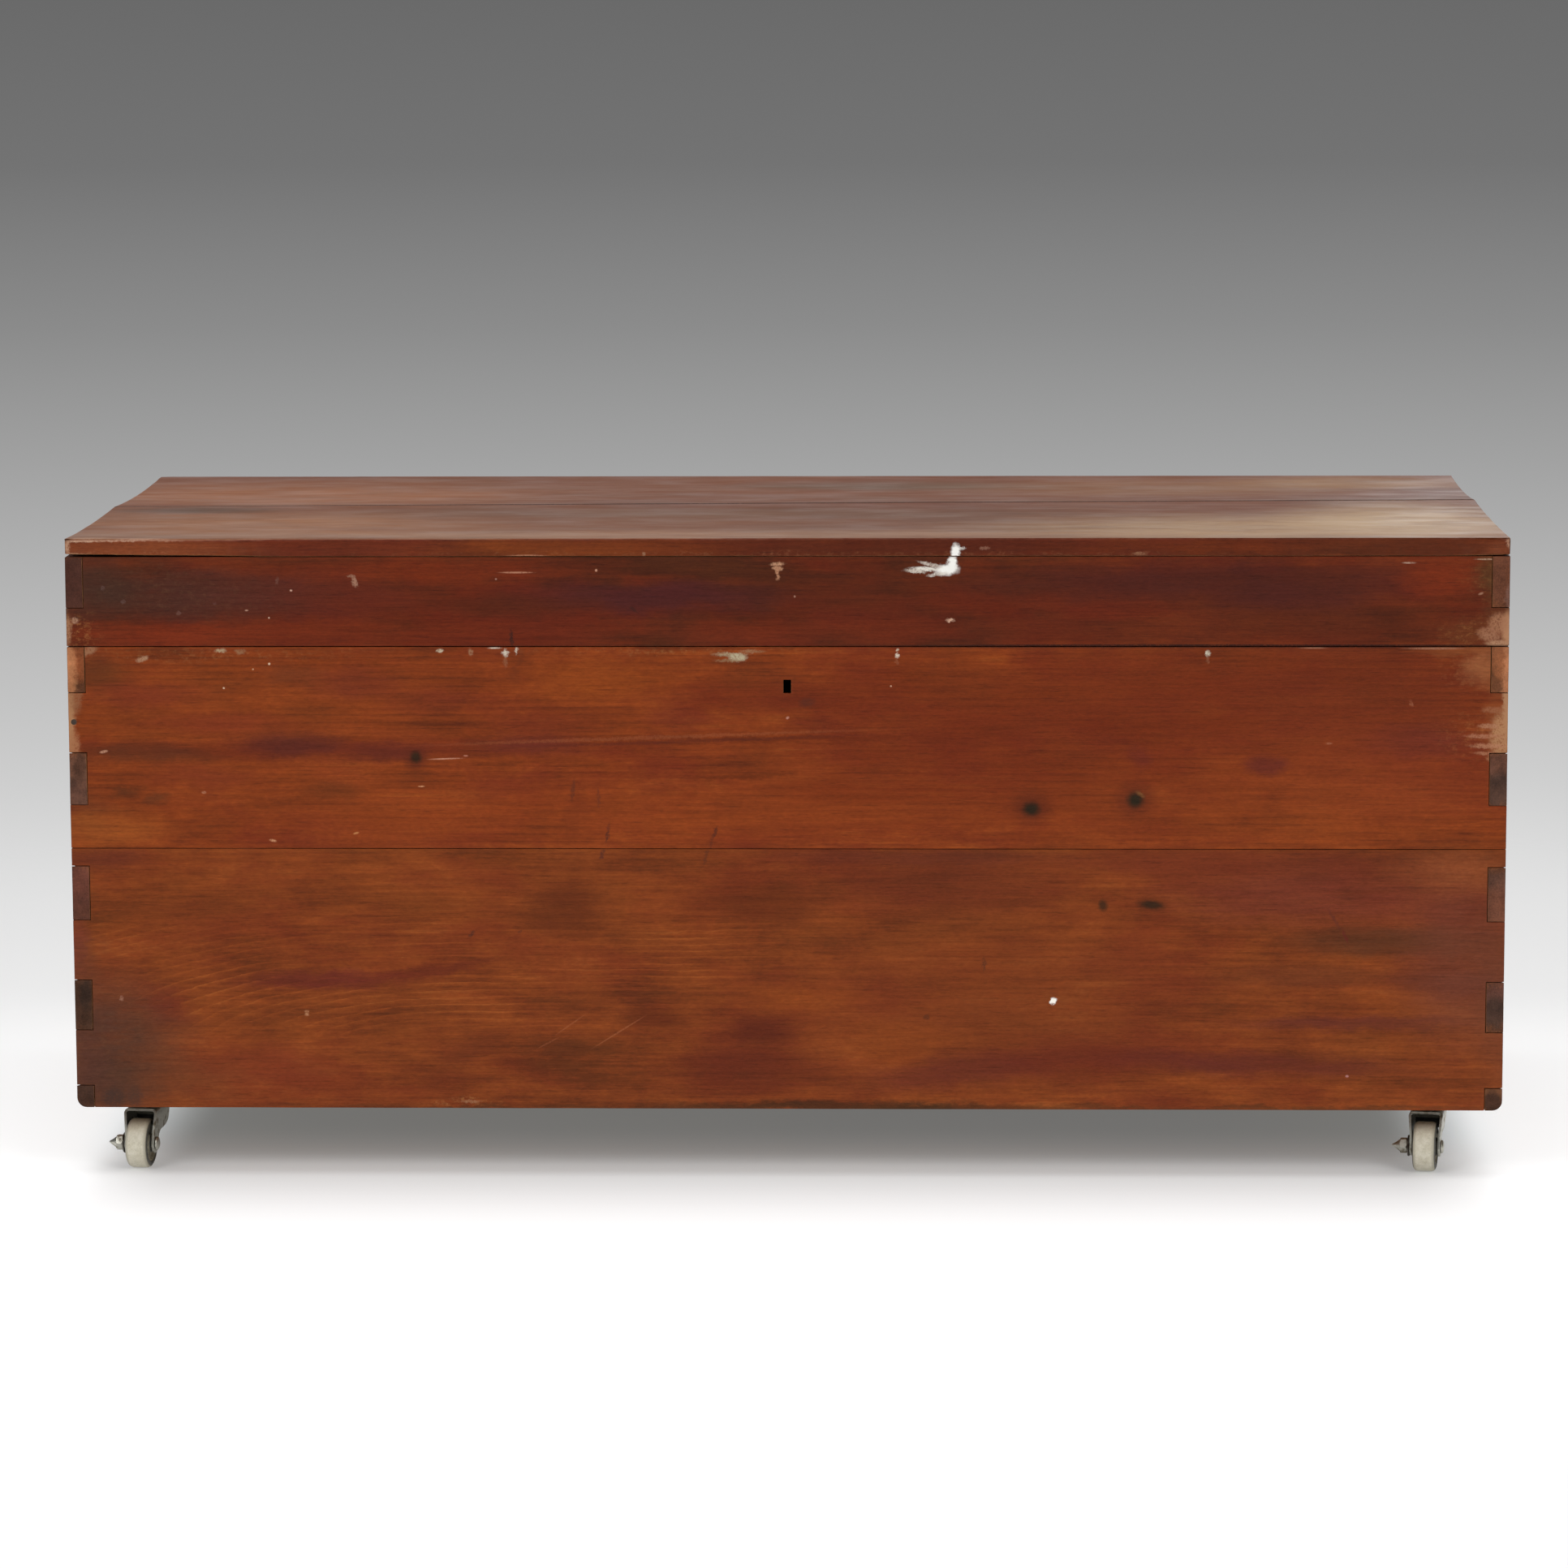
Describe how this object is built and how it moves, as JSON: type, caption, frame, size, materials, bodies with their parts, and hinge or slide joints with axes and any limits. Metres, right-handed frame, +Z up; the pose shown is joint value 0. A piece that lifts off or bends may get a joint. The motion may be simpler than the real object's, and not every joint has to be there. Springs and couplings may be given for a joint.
{
  "type": "blanket chest",
  "caption": "Long dovetailed wooden chest with a hinged lid, a chest lock and swivel casters, for storing blankets.",
  "frame": {"origin": "bottom centre of the overall box, on the floor under the casters", "axes": "+X to the right along the chest's length seen from the front, +Y to the back where the hinges are, +Z up"},
  "size_m": [1.15, 0.541, 0.519],
  "materials": {
    "front_wood": "aged varnish over red-brown pine",
    "side_wood": "worn varnish",
    "lid_wood": "dark worn varnish",
    "top_wood": "greyed and rubbed varnish",
    "bare_wood": "bare, sawn",
    "hinge_brass": "tarnished",
    "bright_steel": "zinc-plated, dull",
    "dark_steel": "plain, darkened",
    "wheel_plastic": "cream, slightly worn"
  },
  "bodies": {
    "box": {"front_lower_board": "front_wood", "front_upper_board": "front_wood", "back_lower_board": "side_wood", "back_upper_board": "side_wood", "left_lower_board": "side_wood", "left_upper_board": "side_wood", "right_lower_board": "side_wood", "right_upper_board": "side_wood", "bottom_front_board": "bare_wood", "bottom_middle_board": "bare_wood", "bottom_rear_board": "bare_wood", "hinge_left_lower_leaf": "hinge_brass", "hinge_left_pin": "bright_steel", "hinge_right_lower_leaf": "hinge_brass", "hinge_right_pin": "bright_steel", "lock_plate": "hinge_brass", "lock_case": "dark_steel", "caster_front_left_plate": "bright_steel", "caster_front_left_kingpin": "bright_steel", "caster_front_right_plate": "bright_steel", "caster_front_right_kingpin": "bright_steel", "caster_rear_left_plate": "bright_steel", "caster_rear_left_kingpin": "bright_steel", "caster_rear_right_plate": "bright_steel", "caster_rear_right_kingpin": "bright_steel"},
    "lid": {"lid_front_rail": "lid_wood", "lid_back_rail": "lid_wood", "lid_left_rail": "lid_wood", "lid_right_rail": "lid_wood", "lid_top_front_board": "top_wood", "lid_top_rear_board": "top_wood", "hinge_left_upper_leaf": "hinge_brass", "hinge_right_upper_leaf": "hinge_brass", "lock_link_plate": "hinge_brass"},
    "bolt": {"lock_bolt": "dark_steel"},
    "front_left_swivel": {"caster_front_left_fork": "bright_steel", "caster_front_left_ball_ring": "dark_steel", "caster_front_left_axle": "bright_steel", "caster_front_left_washer": "dark_steel", "caster_front_left_nut": "bright_steel"},
    "front_left_roller": {"caster_front_left_wheel": "wheel_plastic"},
    "front_right_swivel": {"caster_front_right_fork": "bright_steel", "caster_front_right_ball_ring": "dark_steel", "caster_front_right_axle": "bright_steel", "caster_front_right_washer": "dark_steel", "caster_front_right_nut": "bright_steel"},
    "front_right_roller": {"caster_front_right_wheel": "wheel_plastic"},
    "rear_left_swivel": {"caster_rear_left_fork": "bright_steel", "caster_rear_left_ball_ring": "dark_steel", "caster_rear_left_axle": "bright_steel", "caster_rear_left_washer": "dark_steel", "caster_rear_left_nut": "bright_steel"},
    "rear_left_roller": {"caster_rear_left_wheel": "wheel_plastic"},
    "rear_right_swivel": {"caster_rear_right_fork": "bright_steel", "caster_rear_right_ball_ring": "dark_steel", "caster_rear_right_axle": "bright_steel", "caster_rear_right_washer": "dark_steel", "caster_rear_right_nut": "bright_steel"},
    "rear_right_roller": {"caster_rear_right_wheel": "wheel_plastic"}
  },
  "joints": [
    {"name": "lid_hinge", "type": "hinge", "parent": "box", "child": "lid", "pos_m": [0, 0.26745, 0.4323], "axis": [-1, 0, 0], "range_deg": [0, 100]},
    {"name": "lock_bolt_slide", "type": "slide", "parent": "box", "child": "bolt", "axis": [1, 0, 0], "range_m": [0, 0.007]},
    {"name": "front_left_swivel_turn", "type": "hinge", "parent": "box", "child": "front_left_swivel", "pos_m": [-0.5262, -0.21704, 0.0484], "axis": [0, 0, 1], "continuous": true},
    {"name": "front_left_wheel_spin", "type": "hinge", "parent": "front_left_swivel", "child": "front_left_roller", "pos_m": [-0.52864, -0.2369, 0.02], "axis": [0.9925, -0.1219, 0], "continuous": true},
    {"name": "front_right_swivel_turn", "type": "hinge", "parent": "box", "child": "front_right_swivel", "pos_m": [0.5203, -0.21704, 0.0484], "axis": [0, 0, 1], "continuous": true},
    {"name": "front_right_wheel_spin", "type": "hinge", "parent": "front_right_swivel", "child": "front_right_roller", "pos_m": [0.51683, -0.23674, 0.02], "axis": [0.9848, -0.1736, 0], "continuous": true},
    {"name": "rear_left_swivel_turn", "type": "hinge", "parent": "box", "child": "rear_left_swivel", "pos_m": [-0.525, 0.21046, 0.0484], "axis": [0, 0, 1], "continuous": true},
    {"name": "rear_left_wheel_spin", "type": "hinge", "parent": "rear_left_swivel", "child": "rear_left_roller", "pos_m": [-0.53249, 0.229, 0.02], "axis": [-0.9272, -0.3746, 0], "continuous": true},
    {"name": "rear_right_swivel_turn", "type": "hinge", "parent": "box", "child": "rear_right_swivel", "pos_m": [0.525, 0.21046, 0.0484], "axis": [0, 0, 1], "continuous": true},
    {"name": "rear_right_wheel_spin", "type": "hinge", "parent": "rear_right_swivel", "child": "rear_right_roller", "pos_m": [0.53731, 0.22621, 0.02], "axis": [-0.788, 0.6157, 0], "continuous": true}
  ]
}
